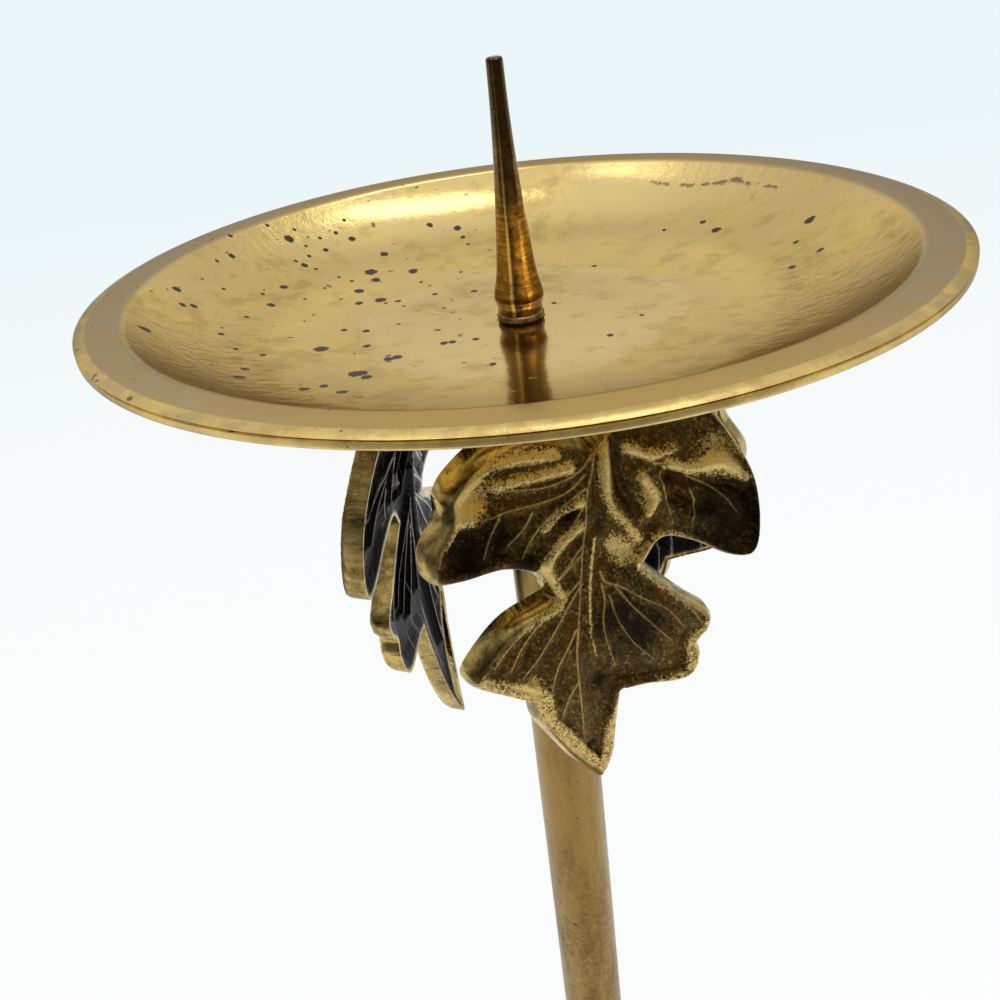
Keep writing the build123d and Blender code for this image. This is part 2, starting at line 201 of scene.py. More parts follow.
def aged_brass(name, brass, brown, pale, grain, polish):
    material, shader, place = new_finish(name)
    clouds = place.mottle(38, 4, 0.6)
    fine = place.mottle(grain, 3, 0.6)
    worn = (clouds + 0.35 * fine).rise(0.52, 0.82)
    stained = (place.vector("ADD", (0.3, 0.1, 0.2)).mottle(60, 5, 0.65) + 0.3 * fine).rise(0.62, 0.86)
    stained.tint(worn.tint(brass, pale), brown).into(shader, "Base Color")
    (polish + 0.16 * stained + 0.08 * fine).into(shader, "Roughness")
    roughen(shader, fine + 0.6 * clouds, 0.12, 0.0004)
    shader.inputs["Metallic"].default_value = 1.0
    return material


foot_finish = aged_brass("foot_brass", foot_brass, foot_brown, foot_pale, grain=900, polish=0.26)
foot_profile = [(foot_recess_radius, 0), (foot_radius - foot_edge, 0), (foot_radius, foot_edge)]
rim_middle = (foot_radius - foot_rim_round, foot_rim_height - foot_rim_round)
foot_profile += arc(rim_middle, foot_rim_round, 0, 90, 8)
foot_profile += [(foot_step_radius + foot_step_edge, foot_rim_height)]
foot_profile += [(foot_step_radius, foot_rim_height + foot_step_edge)]
foot_profile += bell_side((foot_step_radius, foot_step_top), (foot_top_radius, foot_top), 10)
foot_profile += [(foot_bolt_hole, foot_top), (foot_bolt_hole, foot_ceiling)]
inside_foot = (foot_ledge_radius, foot_step_top - foot_wall)
foot_profile += bell_side(inside_foot, (foot_top_radius - foot_wall, foot_ceiling), 6)[::-1]
foot_profile += [(foot_ledge_radius, foot_ledge_height), (foot_recess_radius, foot_ledge_height)]
show("foot", turned(foot_profile, steps=192), foot_finish, "stand", "foot_shell")

# Inside of the foot: a cast iron weight, the bolt and washer that pull the stem down, and a painted sheet
# that three screws hold over them. They keep their own solids and get their finishes here.
iron = (0.045, 0.043, 0.042, 1)
iron_rust = (0.14, 0.062, 0.028, 1)
steel = (0.42, 0.42, 0.43, 1)
steel_dull = (0.20, 0.19, 0.185, 1)
paint = (0.018, 0.018, 0.019, 1)
paint_dust = (0.085, 0.078, 0.07, 1)


def dress(material, *names):
    for name in names:
        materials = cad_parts[name].data.materials
        materials.clear()
        materials.append(material)


iron_finish, shader, place = new_finish("ballast_iron")
scale = place.mottle(260, 5, 0.7)
scale.rise(0.5, 0.7).tint(iron, iron_rust).into(shader, "Base Color")
(0.55 + 0.3 * scale).into(shader, "Roughness")
roughen(shader, scale, 0.5, 0.0006)
shader.inputs["Metallic"].default_value = 0.7

steel_finish, shader, place = new_finish("fastener_steel")
dulled = place.mottle(420, 4, 0.6)
dulled.rise(0.42, 0.7).tint(steel, steel_dull).into(shader, "Base Color")
(0.24 + 0.25 * dulled).into(shader, "Roughness")
roughen(shader, dulled, 0.1, 0.0002)
shader.inputs["Metallic"].default_value = 1.0

paint_finish, shader, place = new_finish("plate_paint")
dust = place.mottle(55, 5, 0.65)
peel = place.mottle(1400, 2, 0.5)
dust.rise(0.5, 0.8).tint(paint, paint_dust).into(shader, "Base Color")
(0.38 + 0.3 * dust).into(shader, "Roughness")
roughen(shader, peel, 0.25, 0.0002)

dress(iron_finish, "ballast_disc")
dress(steel_finish, "base_plate_screws", "foot_washer", "foot_bolt", "collar_set_screw")
dress(paint_finish, "base_plate")

# Foot collar: a turned brass ring that hides the joint between foot and stem, with a bead below and a hollow
# above. It slides down the stem and lies on the foot's top.
collar_bore = 0.00805
collar_wide = 0.017
collar_waist = 0.014
collar_neck = 0.011
collar_waist_height = 0.047
collar_top = 0.054
collar_foot_edge = 0.0006
collar_top_edge = 0.0003
collar_brass = (0.52, 0.38, 0.15, 1)
collar_brown = (0.23, 0.15, 0.055, 1)
collar_pale = (0.64, 0.51, 0.25, 1)
collar_finish = aged_brass("turned_brass", collar_brass, collar_brown, collar_pale, grain=1200, polish=0.22)
collar_profile = [(collar_bore, foot_top), (collar_wide - collar_foot_edge, foot_top)]
collar_bead = [
    (0.0164, 0.0403), (0.0171, 0.0418), (0.01724, 0.0434), (0.0166, 0.0452), (0.0151, 0.0466),
    (collar_waist, collar_waist_height),
]
collar_hollow = [
    (collar_waist, collar_waist_height), (0.0124, 0.0482), (0.0114, 0.0499),
    (collar_neck, 0.0521), (collar_neck, 0.0537),
]
collar_profile += smooth_run(collar_bead, 6)[:-1] + smooth_run(collar_hollow, 6)
collar_profile += [(collar_neck - collar_top_edge, collar_top), (collar_bore, collar_top)]
show("foot_ring", turned(collar_profile, steps=128), collar_finish, "stand", "foot_collar")

# Stem: a drawn brass tube with a tapped plug in each end. Handling left it satin and mottled brown, with
# small dark spots and a little green in places.
stem_radius = 0.008
stem_bore = 0.006
stem_top = 0.3636
stem_edge = 0.0003
stem_browner_below = (0.19, 0.25)
stem_gold = (0.30, 0.19, 0.057, 1)
stem_brown = (0.15, 0.084, 0.023, 1)
stem_pale = (0.37, 0.255, 0.088, 1)
stem_spot = (0.06, 0.038, 0.02, 1)
stem_green = (0.21, 0.23, 0.15, 1)
stem_finish, shader, place = new_finish("stem_brass")
drawn = place.vector("MULTIPLY", (1, 1, 0.2))
cloud = drawn.mottle(60, 4, 0.55)
streak = place.vector("MULTIPLY", (1, 1, 0.03)).mottle(900, 3, 0.6)
speckle = place.mottle(650, 4, 0.7)
low = 1 - place.parts()[2].rise(*stem_browner_below)
patches = drawn.vector("ADD", (0.3, 0.2, 0.6)).mottle(150, 6, 0.7)
brown = (0.6 * patches + 0.4 * speckle + 0.06 * low).rise(0.44, 0.68)
spots = place.mottle(330, 2, 0.4).rise(0.73, 0.77)
green = place.vector("ADD", (0.2, 0.4, 0.1)).mottle(70, 5, 0.7).rise(0.68, 0.76)
gold = (0.8 * cloud + 0.3 * streak).rise(0.38, 0.78).tint(stem_gold, stem_pale)
stained = spots.tint(((0.35 + 0.4 * low) * brown).tint(gold, stem_brown), stem_spot)
(0.7 * green).tint(stained, stem_green).into(shader, "Base Color")
(0.26 + 0.1 * brown + 0.08 * streak + 0.15 * green).into(shader, "Roughness")
(1 - 0.5 * green).into(shader, "Metallic")
roughen(shader, streak + 0.5 * speckle, 0.07, 0.0003)
stem_profile = [(stem_bore, foot_top), (stem_radius - stem_edge, foot_top)]
stem_profile += [(stem_radius, foot_top + stem_edge), (stem_radius, stem_top - stem_edge)]
stem_profile += [(stem_radius - stem_edge, stem_top), (stem_bore, stem_top)]
show("stem", turned(stem_profile, steps=96), stem_finish, "stand", "stem_tube")
dress(collar_finish, "stem_head_plug", "stem_foot_plug")

# Leaf collar and fixings: a brass ring on the stem, held by a grub screw, with three short rods screwed into
# flats on it and locked by nuts. They keep their own solids and get the turned brass of the foot's ring.
dress(collar_finish, "leaf_collar", "stalk_lock_nuts")
dress(collar_finish, "leaf_stalk_front", "leaf_stalk_left", "leaf_stalk_rear")

# Leaves: three castings of one pattern, each with five lobes, raised veins in front and behind, and a boss
# for its rod. The brass was patinated almost black and rubbed bright on its veins, margins and filed edges.
# On the back, the deepest black is painted shade over the patina, and its silver lines are painted
# reflections.
# The lowest filed walls turn paler: a painted reflection of the floor.
leaf_half_width = 0.0362
leaf_height = 0.0896
leaf_top = 0.3589
leaf_thickness = 0.005
leaf_reach = 0.0357
leaf_arch_radius = 0.140
leaf_arch_share = 0.51
leaf_arch_height = leaf_top - leaf_arch_share * leaf_height
leaf_grid = 0.00031
leaf_angles = {"front": 17, "left": -103, "rear": 137}
leaf_leans = {"front": 2.0, "left": 6.2, "rear": 9.0}
leaf_boss_height = 0.3486
leaf_boss_radius = 0.005
leaf_boss_length = 0.004
leaf_boss_skirt = 0.0005
leaf_boss_slope = 0.0009
leaf_vein_reach = 0.0015
leaf_wall_widths = (0.0014, 0.0022, 0.0026, 0.0028, 0.0030)
leaf_valley_depth = 0.0017
leaf_valley_width = 0.0036
leaf_back_hollow = 0.0012
leaf_back_rim = 0.0008
leaf_back_slope = 0.003
leaf_back_rib = 0.0022
leaf_wall_fade = 0.0004
leaf_face_fade = 0.0005
leaf_margin_fade = 0.0009
leaf_margin_least = 0.0006
leaf_crest_foot = 0.0003
leaf_trough_soot = 0.0009
leaf_fan_above = 0.012
leaf_grain_height = 0.00009
# Below this height the filed walls turn paler: a painted reflection of the floor.
leaf_wall_reflection_below = (0.300, 0.292)
leaf_lobe_shares = (
    (
        (0.03, 0.07), (0.24, 0.012), (0.5, 0.003), (0.71, 0.047), (0.82, 0.113), (0.93, 0.215),
        (0.956, 0.302), (0.93, 0.395), (0.853, 0.43), (0.706, 0.41), (0.515, 0.351), (0.33, 0.317),
    ),
    (
        (0.206, 0.36), (0.438, 0.475), (0.597, 0.545), (0.575, 0.595), (0.51, 0.618),
        (0.527, 0.655), (0.49, 0.708), (0.376, 0.726), (0.147, 0.7),
    ),
    (
        (0.006, 0.69), (-0.025, 0.79), (-0.045, 0.895), (-0.1, 0.968), (-0.16, 0.985),
        (-0.225, 0.946), (-0.345, 0.87), (-0.45, 0.782), (-0.54, 0.7),
    ),
    (
        (-0.56, 0.635), (-0.68, 0.597), (-0.86, 0.54), (-0.9, 0.5), (-0.794, 0.447),
        (-0.618, 0.395),
    ),
    (
        (-0.368, 0.368), (-0.412, 0.315), (-0.574, 0.282), (-0.794, 0.279), (-0.95, 0.268),
        (-1.0, 0.236), (-0.976, 0.185), (-0.859, 0.13), (-0.832, 0.085), (-0.735, 0.047),
        (-0.544, 0.012), (-0.265, 0.012),
    ),
)
# Widths at the same points, in millimetres: the edge that was filed bare, and the rubbed margin inside it
leaf_bare_widths = (
    (1.2, 1.2, 1.2, 1.2, 0.9, 0.7, 0.7, 0.8, 0.9, 0.9, 0.9, 0.9),
    (0.9, 1.4, 1.6, 1.3, 1.0, 0.9, 0.8, 0.8, 0.8),
    (0.7, 0.7, 0.8, 0.9, 1.2, 2.4, 3.0, 2.8, 2.0),
    (1.0, 0.8, 0.9, 2.4, 3.2, 3.0),
    (1.4, 0.9, 0.8, 0.9, 1.6, 2.6, 2.8, 2.8, 2.8, 2.8, 2.4, 1.6),
)
leaf_margin_widths = (
    (0.0, 0.0, 0.0, 0.0, 0.0, 0.0, 0.0, 0.0, 0.0, 0.0, 0.3, 0.8),
    (0.6, 0.3, 0.3, 1.6, 2.2, 2.6, 2.8, 2.0, 0.6),
    (0.3, 2.6, 2.8, 4.0, 4.0, 2.2, 1.6, 1.8, 2.0),
    (3.6, 3.6, 2.6, 0.6, 0.3, 0.3),
    (1.8, 0.4, 0.0, 0.0, 0.0, 0.0, 0.2, 0.8, 1.4, 1.6, 1.2, 0.4),
)
# The photo's camera: its place, its three directions, and its focal length in pixels
photo_eye = Vector((-0.00894, -0.21563, 0.44447))
photo_forward = Vector((0, 0.8814, -0.4724))
photo_right = Vector((0.9922, -0.0589, -0.1098))
photo_up = Vector((0.1246, 0.4687, 0.8745))
photo_size = 1000
photo_focus = 1107.4
# Lines of the relief, read in a close-up of the photo that starts at this pixel and is this much larger.
# A kind gives the crest's half width and height, and the half width that is rubbed
close_up = (400, 440)
close_up_scale = 4.12
broad = (0.0017, 0.0009, 0.0015)
fold = (0.0017, 0.0008, 0.0004)
thin = (0.0005, 0.0004, 0.0)
trough = (0.0015, -0.0012, 0.0)
leaf_lines = (
    (thin, (800, 10), (790, 120), (768, 230), (765, 340), (752, 450), (745, 560), (740, 660), (735, 765)),
    (thin, (735, 765), (728, 880), (735, 980), (748, 1100), (760, 1235)),
    (thin, (724, 780), (690, 860), (650, 940), (625, 1040)),
    (thin, (732, 1000), (695, 1065), (668, 1145)),
    (thin, (748, 590), (690, 690), (625, 810), (570, 900), (505, 985)),
    (thin, (745, 575), (670, 660), (560, 775), (495, 870), (455, 960)),
    (thin, (690, 620), (560, 740), (455, 850), (385, 950)),
    (thin, (748, 470), (640, 590), (530, 712), (430, 812), (310, 960)),
    (thin, (822, 540), (845, 582), (900, 598), (1000, 650), (1100, 695), (1170, 765)),
    (thin, (828, 590), (842, 660), (836, 740), (852, 830), (885, 925)),
    (thin, (862, 640), (895, 735), (960, 830), (1045, 900)),
    (thin, (885, 600), (960, 685), (1050, 765), (1125, 830)),
    (thin, (1010, 530), (1100, 612), (1195, 690), (1245, 752)),
    (thin, (800, 60), (720, 140), (610, 192), (500, 206), (400, 214)),
    (thin, (762, 140), (690, 212), (590, 256), (440, 296), (370, 326), (270, 340)),
    (thin, (762, 200), (660, 280), (590, 342), (540, 412), (502, 490)),
    (thin, (410, 320), (372, 400), (345, 490)),
    (thin, (756, 270), (712, 350), (645, 430), (592, 490)),
    (thin, (762, 330), (702, 402), (640, 480)),
    (thin, (752, 430), (692, 520), (640, 590)),
    (thin, (545, 300), (505, 370), (440, 440)),
    (thin, (215, 345), (182, 440), (160, 540)),
    (thin, (660, 70), (540, 100), (420, 110), (330, 150)),
    (thin, (1040, 92), (1160, 95), (1260, 120), (1400, 135)),
    (thin, (1180, 150), (1270, 188), (1335, 232), (1390, 300)),
    (thin, (1070, 130), (1090, 220), (1120, 330)),
    (thin, (1190, 200), (1215, 270), (1200, 340)),
    (broad, (836, 20), (845, 120), (850, 200), (872, 280), (940, 350), (985, 400)),
    (broad, (1000, 150), (1048, 225), (1030, 290), (1000, 325)),
    (broad, (1100, 95), (1200, 112), (1330, 92), (1420, 150)),
    (broad, (930, 30), (1040, 60), (1130, 30)),
    (fold, (795, 400), (782, 520), (778, 650), (782, 780), (805, 880)),
    (broad, (745, 255), (660, 300), (600, 365)),
    (broad, (735, 360), (655, 440), (605, 530)),
    (broad, (700, 112), (600, 142), (480, 172), (390, 192)),
    (broad, (640, 60), (480, 80), (330, 120), (250, 190)),
    (trough, (895, 80), (910, 180), (960, 270), (1010, 330)),
    (trough, (1090, 150), (1250, 182), (1400, 195)),
    (trough, (1120, 245), (1300, 300)),
)
# Places rubbed bright by hand and places left sooty, in the same close-up: across, down, reach in metres
leaf_rubs = (
    (295, 255, 0.0040), (255, 310, 0.0028), (612, 555, 0.0024), (590, 580, 0.0018), (950, 480, 0.0032),
    (890, 440, 0.0020), (1030, 240, 0.0022), (870, 150, 0.0024),
    (1330, 60, 0.0050), (560, 1020, 0.0020),
)
leaf_soots = (
    (1390, 330, 0.0075), (1300, 270, 0.0050), (520, 520, 0.0030), (300, 500, 0.0050), (840, 1000, 0.0020),
    (800, 1265, 0.0013), (900, 720, 0.0050), (990, 780, 0.0050), (400, 420, 0.0040), (690, 300, 0.0025),
)
leaf_dark = (0.022, 0.013, 0.006, 1)
leaf_red = (0.190, 0.092, 0.022, 1)
leaf_olive = (0.170, 0.118, 0.030, 1)
leaf_gold = (0.46, 0.285, 0.065, 1)
leaf_bright = (0.96, 0.72, 0.25, 1)
leaf_wall_dark = (0.13, 0.088, 0.028, 1)
leaf_wall_gold = (0.62, 0.45, 0.15, 1)
# The last wall colour is the painted reflection of the floor on the lowest walls.
leaf_wall_painted_reflection = (0.62, 0.47, 0.22, 1)
# The back: black patina deepened as painted shade, and silver for painted reflections along strokes and
# veins.
leaf_back_patina_and_shade = (0.005, 0.005, 0.005, 1)
leaf_back_painted_reflection = (0.55, 0.54, 0.51, 1)


def leaf_place(shares):
    return (shares[0] * leaf_half_width, leaf_top - shares[1] * leaf_height)


def leaf_front(height):
    return leaf_reach - leaf_arch_radius + sqrt(leaf_arch_radius ** 2 - (height - leaf_arch_height) ** 2)


def sight(across, down):
    ray = photo_forward + photo_right * ((across - photo_size / 2) / photo_focus)
    return ray + photo_up * ((photo_size / 2 - down) / photo_focus)


def on_leaf(across, down):
    facing = Matrix.Rotation(radians(-leaf_angles["front"]), 3, "Z")
    upright = Matrix.Rotation(radians(leaf_leans["front"]), 3, "Y")
    ray = facing @ sight(close_up[0] + across / close_up_scale, close_up[1] + down / close_up_scale)
    eye = facing @ photo_eye
    reach = leaf_reach
    for _ in range(8):
        spot = eye - ray * ((reach + eye.y) / ray.y)
        reach = leaf_front(spot.z)
    spot = upright @ (spot - Vector((0, 0, leaf_boss_height)))
    return (spot.x, spot.z + leaf_boss_height)


def nearest(points, run):
    reach = np.full(len(points), 1e9)
    foot = np.zeros((len(points), 2))
    index = np.zeros(len(points))
    for step, (start, end) in enumerate(zip(run, run[1:])):
        side = end - start
        share = np.clip((points - start) @ side / max(side @ side, 1e-18), 0, 1)
        near = start + share[:, None] * side
        gap = np.hypot(*(points - near).T)
        closer = gap < reach
        reach[closer], foot[closer], index[closer] = gap[closer], near[closer], step + share[closer]
    return reach, foot, index


leaf_steps = 6
leaf_edge = []
leaf_lobe_of_step = []
for lobe, following in zip(leaf_lobe_shares, leaf_lobe_shares[1:] + leaf_lobe_shares[:1]):
    run = smooth_run([leaf_place(shares) for shares in lobe + following[:1]], leaf_steps)
    leaf_edge += run[:-1]
    leaf_lobe_of_step += [leaf_lobe_shares.index(lobe)] * (len(run) - 1)
leaf_edge = np.array(leaf_edge + leaf_edge[:1])

columns, rows = round(2 * leaf_half_width / leaf_grid), round(leaf_height / leaf_grid)
leaf_form = bmesh.new()
leaf_stretch = Matrix.Diagonal((leaf_half_width, leaf_height / 2, 1, 1))
leaf_middle = Matrix.Translation((0, leaf_top - leaf_height / 2, 0))
leaf_sheet = leaf_middle @ leaf_stretch
bmesh.ops.create_grid(leaf_form, x_segments=columns, y_segments=rows, size=1, matrix=leaf_sheet)
points = np.array([vert.co[:2] for vert in leaf_form.verts])
inside = np.zeros(len(points), bool)
for start, end in zip(leaf_edge, leaf_edge[1:]):
    across = (start[1] > points[:, 1]) != (end[1] > points[:, 1])
    crossing = start[0] + (points[:, 1] - start[1]) * (end[0] - start[0]) / (end[1] - start[1] + 1e-12)
    inside ^= across & (points[:, 0] < crossing)
reach, _, _ = nearest(points, leaf_edge)
outside = [vert for vert, keep in zip(leaf_form.verts, inside | (reach < 0.35 * leaf_grid)) if not keep]
bmesh.ops.delete(leaf_form, geom=outside, context="VERTS")
bmesh.ops.delete(leaf_form, geom=[vert for vert in leaf_form.verts if not vert.link_faces], context="VERTS")
rim = [vert for vert in leaf_form.verts if any(edge.is_boundary for edge in vert.link_edges)]
_, foot, _ = nearest(np.array([vert.co[:2] for vert in rim]), leaf_edge)
for vert, place in zip(rim, foot):
    vert.co.xy = place
rim_set = set(rim)
near_rim = [vert for vert in leaf_form.verts if vert not in rim_set]
near_rim = [vert for vert in near_rim if any(edge.other_vert(vert) in rim_set for edge in vert.link_edges)]
bmesh.ops.smooth_vert(leaf_form, verts=near_rim, factor=0.5, use_axis_x=True, use_axis_y=True)

points = np.array([vert.co[:2] for vert in leaf_form.verts])
inward, _, along = nearest(points, leaf_edge)
lobes = np.array(leaf_lobe_of_step)[along.astype(int) % len(leaf_lobe_of_step)]
wall_width = np.array(leaf_wall_widths)[lobes]
bare, margin = [
    0.001 * np.interp(along / leaf_steps, range(len(sum(widths, ())) + 1), sum(widths, ()) + widths[0][:1])
    for widths in (leaf_bare_widths, leaf_margin_widths)
]
crest = np.zeros(len(points))
sunk = np.zeros(len(points))
vein = np.zeros(len(points))
rub = np.zeros(len(points))
from_line = np.full(len(points), 1.0)
for (half_width, height, rubbed), *spots in leaf_lines:
    run = np.array(smooth_run([on_leaf(*spot) for spot in spots], 5))
    gap, _, step = nearest(points, run)
    fade = 1 - 0.45 * step / (len(run) - 1)
    shape = height * fade * np.clip(1 - (gap / half_width) ** 2, 0, 1) ** 2
    if height > 0:
        crest = np.maximum(crest, shape)
        from_line = np.minimum(from_line, gap)
        vein = np.maximum(vein, 0 if rubbed else 1 - gap / (leaf_vein_reach * fade))
    else:
        sunk = np.minimum(sunk, shape)
    if rubbed:
        rub = np.maximum(rub, fade * np.clip(1.25 - gap / rubbed, 0, 1))
edge_fall = np.clip(1 - (inward - bare - margin) / leaf_margin_fade, 0, 1)
edge_fall = edge_fall * np.clip(margin / leaf_margin_least, 0, 1)
rub = np.maximum(rub, 0.62 * edge_fall)
for across, down, reach in leaf_rubs:
    rub += 0.8 * np.exp(-(np.hypot(*(points - on_leaf(across, down)).T) / reach) ** 2)
soot = np.zeros(len(points))
for across, down, reach in leaf_soots:
    soot = np.maximum(soot, np.exp(-(np.hypot(*(points - on_leaf(across, down)).T) / reach) ** 2))
rub -= 0.4 * soot
rub -= 0.5 * np.clip(-sunk / leaf_trough_soot, 0, 1)
valley = np.clip((from_line - leaf_crest_foot) / leaf_valley_width, 0, 1)
valley = leaf_valley_depth * valley * valley * (3 - 2 * valley) * (1 - 0.8 * edge_fall)
wall = np.clip((bare - inward) / leaf_wall_fade + 0.5, 0, 1)
slope = np.clip(inward / wall_width, 0, 1)
drop = 1 - np.sqrt(np.clip(1 - (1 - slope) ** 2, 0, 1))
face = np.clip((inward - wall_width) / leaf_face_fade, 0, 1)
lift = -leaf_thickness * drop + face * (crest + sunk - valley)
back_face = np.clip((inward - leaf_back_rim) / leaf_back_slope, 0, 1)
back_dip = leaf_back_hollow * np.clip(from_line / leaf_back_rib, 0, 1)
back_lift = back_face * (back_dip - 0.6 * crest)
fan = np.arctan2(points[:, 0], leaf_top + leaf_fan_above - points[:, 1])
spread = np.hypot(points[:, 0], leaf_top + leaf_fan_above - points[:, 1])
boss_gap = np.hypot(points[:, 0], points[:, 1] - leaf_boss_height)
boss = np.clip((leaf_boss_radius + leaf_boss_skirt - boss_gap) / leaf_boss_slope, 0, 1)
back_lift = back_lift * (1 - boss) - leaf_boss_length * boss * boss * (3 - 2 * boss)

layers = leaf_form.verts.layers.float
kept = {"front_lift": lift, "back_lift": back_lift, "rub": rub, "wall": wall, "vein": vein, "soot": soot}
kept.update({"fan": fan, "spread": spread})
for name, values in kept.items():
    layer = layers.new(name)
    for vert, value in zip(leaf_form.verts, values):
        vert[layer] = value
lift_layer, back_layer, wall_layer = layers["front_lift"], layers["back_lift"], layers["wall"]
side_layer = layers.new("back")
whole = leaf_form.verts[:] + leaf_form.edges[:] + leaf_form.faces[:]
rear = bmesh.ops.duplicate(leaf_form, geom=whole)["geom"]
bmesh.ops.reverse_faces(leaf_form, faces=[part for part in rear if isinstance(part, bmesh.types.BMFace)])
for vert in [part for part in rear if isinstance(part, bmesh.types.BMVert)]:
    vert[side_layer] = 1.0
for vert in leaf_form.verts:
    across, height = vert.co.xy
    reach = leaf_front(height)
    if vert[side_layer] > 0.5:
        reach += vert[back_layer] - leaf_thickness
    else:
        coarse = noise.noise(Vector((across, height, 0)) * 1300)
        grain = coarse + 0.6 * noise.noise(Vector((across, height, 1)) * 2600)
        reach += vert[lift_layer] + leaf_grain_height * grain * (1 - vert[wall_layer])
    vert.co = (across, -reach, height)
bmesh.ops.remove_doubles(leaf_form, verts=leaf_form.verts, dist=2e-6)
bmesh.ops.recalc_face_normals(leaf_form, faces=leaf_form.faces)

leaf_finish, shader, place = new_finish("leaf_brass")
rub, wall, vein, soot, fan, spread, back = [
    place.node("ShaderNodeAttribute", {"attribute_name": name}, {}, "Fac")
    for name in ("rub", "wall", "vein", "soot", "fan", "spread", "back")
]
grain = place.mottle(2300, 3, 0.65)
sand = place.mottle(1100, 4, 0.7)
blotch = place.mottle(330, 4, 0.6)
cell = place.vector("ADD", (0.2, 0.1, 0.3)).mottle(140, 3, 0.55)
shift = place.node("ShaderNodeCombineXYZ", {}, {0: blotch * 0.0022, 2: sand * 0.0016})
web = {"Vector": place.vector("ADD", shift), "Scale": 470.0}
net = place.node("ShaderNodeTexVoronoi", {"feature": "DISTANCE_TO_EDGE"}, web, "Distance")
threads = (1 - net.rise(0.0, 0.10)) * sand.rise(0.45, 0.65) * (1 - soot)
hatch = place.node("ShaderNodeCombineXYZ", {}, {0: fan * 46, 1: spread * 260}).mottle(1.0, 3, 0.7)
line = vein.rise(0.76, 0.9)
rubbed = (rub + 2.1 * grain + 1.1 * sand + 0.6 * hatch - 1.98).rise(0.12, 0.72)
gold = rubbed.most(line * (0.25 + 0.9 * grain) * (1 - 0.5 * soot)).most(0.4 * threads)
earth = (cell + 0.3 * hatch).rise(0.5, 0.76).tint(leaf_red, leaf_olive)
bared = 0.5 * blotch + 0.6 * sand + 0.4 * grain + 0.4 * hatch - 0.4 * soot
dark = bared.rise(0.62, 1.15).tint(leaf_dark, earth)
bright = (0.7 * grain + 0.6 * sand + 0.2 * rub).rise(0.45, 0.95).tint(leaf_gold, leaf_bright)
front = gold.tint(dark, bright)
stain = place.mottle(170, 4, 0.6)
strokes = place.node("ShaderNodeCombineXYZ", {}, {0: fan * 34, 1: spread * 22}).mottle(1.0, 3, 0.65)
side = (0.6 * stain + 0.25 * sand + 0.35 * strokes).rise(0.46, 0.74).tint(leaf_wall_dark, leaf_wall_gold)
# Paler on the lowest walls: a painted reflection of the floor.
side = (0.3 * place.parts()[2].rise(*leaf_wall_reflection_below)).tint(side, leaf_wall_painted_reflection)
# Back: black patina deepened as painted shade, with silver strokes and veins that are painted reflections.
back_shade_and_reflection = (strokes.rise(0.58, 0.7) * 0.7).most(line).tint(leaf_back_patina_and_shade, leaf_back_painted_reflection)
wall.tint(back.tint(front, back_shade_and_reflection), side).into(shader, "Base Color")
(0.46 - 0.16 * gold - 0.2 * wall - 0.16 * back + 0.1 * grain).into(shader, "Roughness")
shader.inputs["Metallic"].default_value = 1.0
cast_skin = 0.8 * grain + 0.7 * sand + 0.4 * hatch + 0.8 * back * strokes
filed_skin = 0.12 * stain + 0.2 * strokes
roughen(shader, (1 - wall) * cast_skin + wall * filed_skin, 0.6, 0.0005)

for name, angle in leaf_angles.items():
    casting = leaf_form.copy()
    lean = Matrix.Rotation(radians(-leaf_leans[name]), 3, "Y")
    bmesh.ops.rotate(casting, verts=casting.verts, cent=(0, 0, leaf_boss_height), matrix=lean)
    facing = Matrix.Rotation(radians(angle), 3, "Z")
    bmesh.ops.rotate(casting, verts=casting.verts, cent=(0, 0, 0), matrix=facing)
    show("leaf_casting_" + name, casting, leaf_finish, "stand", "leaf_" + name, edge_angle=60)
leaf_form.free()

# Dish seat: a turned brass flange with a socket over the tube's end. The dish lies on it, held down by the
# spike. It keeps its own solid.
dress(collar_finish, "dish_seat")

# Drip dish: a shallow bowl of cast brass with a flat rim that slopes off at its edge, above a fine groove. It
# was polished by hand, and pits of the casting, stains and a worn middle show where candles stood.
# The bowl's left and right walls are browner: painted shade.
# The rim greys towards its left and right: a painted reflection.
# The sloping shoulder is a brighter gold all round: a painted highlight.
dish_radius = 0.0847
dish_crease = 0.0760
dish_rim = 0.3843
dish_floor = 0.370
dish_flat = 0.025
dish_ease_out_share = 0.535
dish_ease_up_share = 0.175
dish_ease_out = dish_ease_out_share * (dish_crease - dish_flat)
dish_ease_up = dish_ease_up_share * (dish_rim - dish_floor)
dish_wall = 0.0024
dish_shoulder = 0.0024
dish_shoulder_drop = 0.00065
dish_shoulder_bulge = 0.00013
dish_groove = 0.0005
dish_crease_round = 0.0011
dish_lip_round = 0.0005
dish_worn_edge = (0.0410, 0.0424)
dish_wall_from = (0.046, 0.056)
dish_sides_from = (0.03, 0.055)
dish_hole = 0.0033
washer_seat_radius = 0.00495
washer_seat_depth = 0.0003
dish_ease = (dish_ease_out ** 2 + dish_ease_up ** 2) / (2 * dish_ease_up)
ease_turn = 2 * atan2(dish_ease_up, dish_ease_out)
bowl_out = dish_crease - dish_flat - dish_ease_out
bowl_up = dish_rim - dish_floor - dish_ease_up
dish_bowl = (bowl_out ** 2 + bowl_up ** 2) / (2 * (bowl_up * cos(ease_turn) - bowl_out * sin(ease_turn)))
ease_middle = (dish_flat, dish_floor + dish_ease)
bowl_middle = (
    dish_flat + dish_ease_out - dish_bowl * sin(ease_turn),
    dish_floor + dish_ease_up + dish_bowl * cos(ease_turn),
)
ease_end = degrees(ease_turn) - 90
crease_end = degrees(atan2(dish_crease - bowl_middle[0], bowl_middle[1] - dish_rim)) - 90
under_end = degrees(acos((bowl_middle[1] - dish_rim + dish_wall) / (dish_bowl + dish_wall))) - 90
